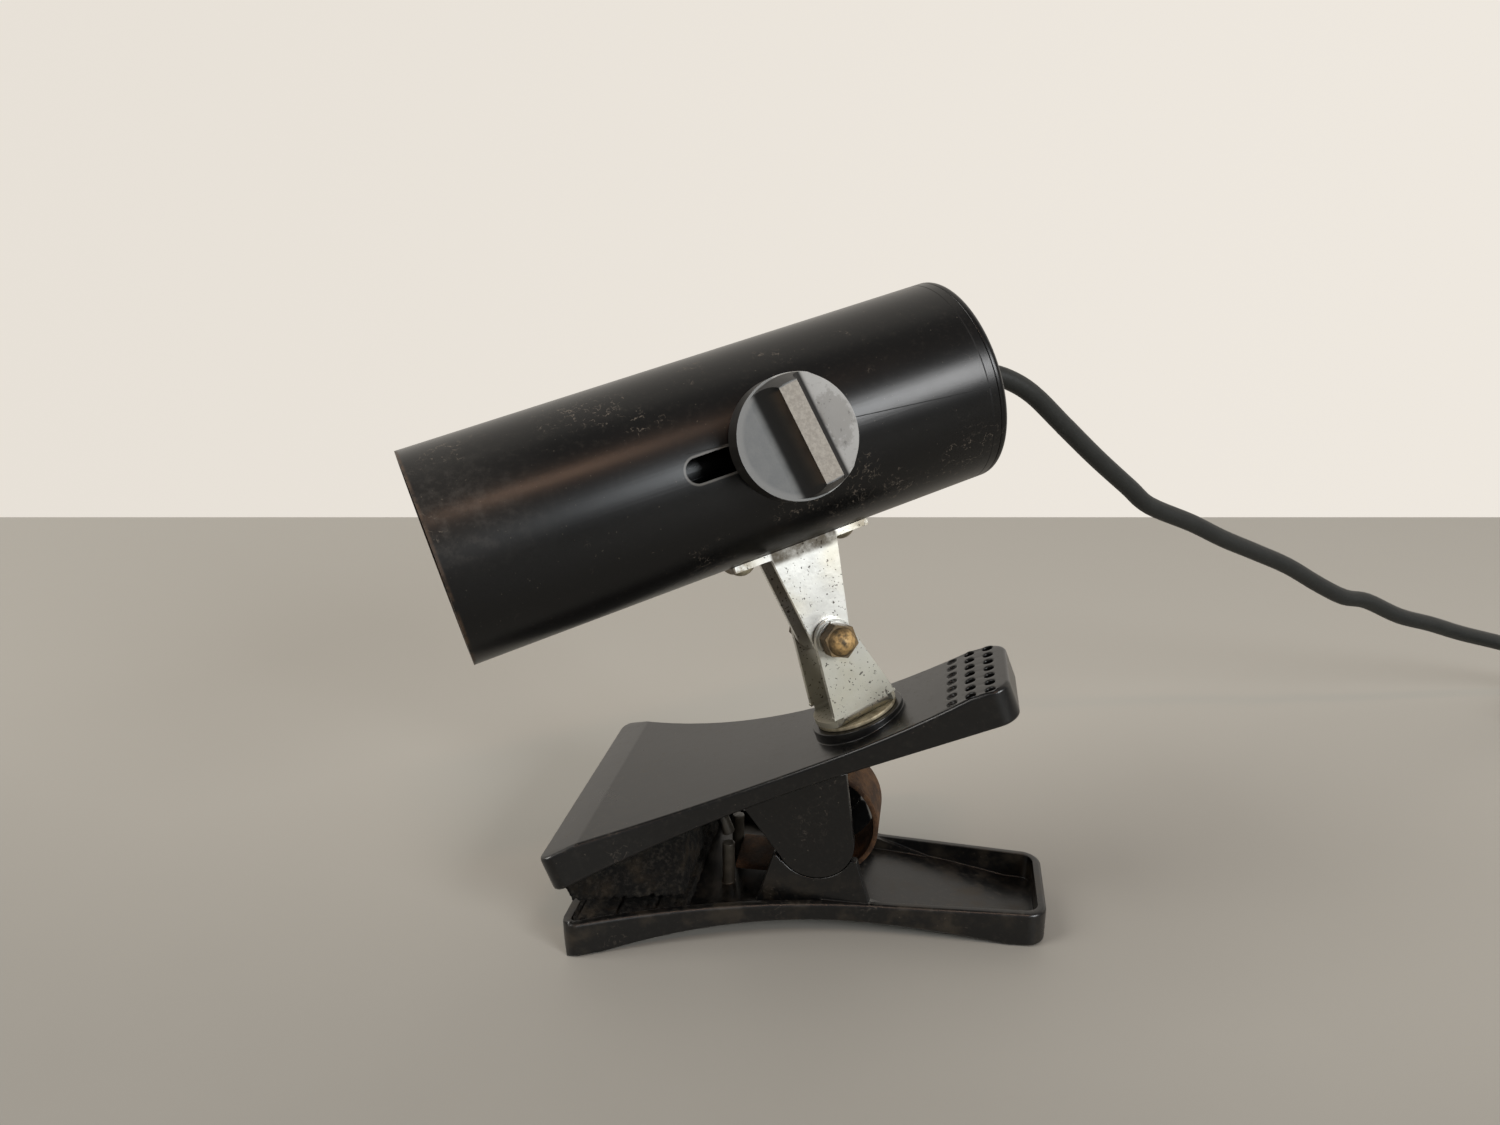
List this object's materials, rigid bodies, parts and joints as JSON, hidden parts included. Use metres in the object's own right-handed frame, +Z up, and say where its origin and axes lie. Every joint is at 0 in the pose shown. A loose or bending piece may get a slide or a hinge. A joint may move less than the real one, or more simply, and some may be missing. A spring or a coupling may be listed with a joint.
{
  "type": "clamp lamp",
  "caption": "Clamp spotlight: a short tube shade with a sliding focus knob on a tilting and swivelling steel bracket, carried by a sprung plastic clamp, with a mains cord.",
  "frame": {"origin": "middle of the flat land under the jaw end of the lower clamp arm", "axes": "+X from the jaw towards the handles, +Z up from the surface the lower arm lies on"},
  "size_m": [0.3991, 0.215, 0.1452],
  "materials": {
    "black_plastic": "satin moulded, worn",
    "pad_rubber": "dusty, ribbed",
    "spring_steel": "rusty brown",
    "zinc_plate": "bright zinc, pitted",
    "nut_brass": "dull brass plate",
    "knob_grey": "satin grey, worn",
    "contact_brass": "plain",
    "holder_plastic": "matte",
    "flex_sheath": "matte, dark green-grey",
    "lead_sheath": "plain",
    "pin_metal": "nickel plate"
  },
  "bodies": {
    "lower_arm": {"lower_arm": "black_plastic", "lower_jaw_pad": "pad_rubber", "clamp_spring": "spring_steel", "flex_coil": "flex_sheath", "coil_tie": "black_plastic", "plug_body": "black_plastic", "plug_pins": "pin_metal"},
    "upper_arm": {"upper_arm": "black_plastic", "upper_jaw_pad": "pad_rubber", "swivel_rivet": "zinc_plate", "swivel_washer": "zinc_plate"},
    "swivel": {"swivel_bracket": "zinc_plate", "pivot_bolt": "nut_brass", "dome_nut": "nut_brass", "pivot_washers": "zinc_plate"},
    "head": {"head_bracket": "zinc_plate", "bracket_rivets": "zinc_plate", "shade_tube": "black_plastic", "rear_cap": "black_plastic", "cord_bush": "pad_rubber", "cord_grip": "holder_plastic", "grip_screws": "zinc_plate", "inner_leads": "lead_sheath", "flex_cord": "flex_sheath"},
    "carriage": {"holder_sleeve": "holder_plastic", "lampholder_shell": "holder_plastic", "lampholder_liner": "contact_brass", "centre_contact": "contact_brass", "terminal_screws": "contact_brass", "sleeve_nut": "zinc_plate", "knob_stud": "zinc_plate"},
    "knob": {"focus_knob": "knob_grey"}
  },
  "joints": [
    {"name": "jaw_open", "type": "hinge", "parent": "lower_arm", "child": "upper_arm", "pos_m": [0.0505, 0, 0.023], "axis": [0, 1, 0], "range_deg": [0, 34], "stiffness_Nm_per_rad": 1, "springref_deg": -60.16, "deforming": ["clamp_spring", "flex_cord"]},
    {"name": "bracket_swivel", "type": "hinge", "parent": "upper_arm", "child": "swivel", "pos_m": [0.05763, 0, 0.05057], "axis": [-0.3688, 0, 0.9295], "range_deg": [-90, 90], "deforming": ["flex_cord"]},
    {"name": "head_tilt", "type": "hinge", "parent": "swivel", "child": "head", "pos_m": [0.04953, -0.0005, 0.06866], "axis": [-0.4634, 0.8669, -0.1838], "range_deg": [-20, 30], "deforming": ["flex_cord"]},
    {"name": "focus_slide", "type": "slide", "parent": "head", "child": "carriage", "axis": [-0.8322, -0.497, -0.2458], "range_m": [0, 0.019], "deforming": ["inner_leads"]},
    {"name": "knob_turn", "type": "hinge", "parent": "carriage", "child": "knob", "pos_m": [0.03394, 0.00012, 0.11083], "axis": [0.4351, -0.8602, 0.2661], "range_deg": [0, 270]}
  ]
}
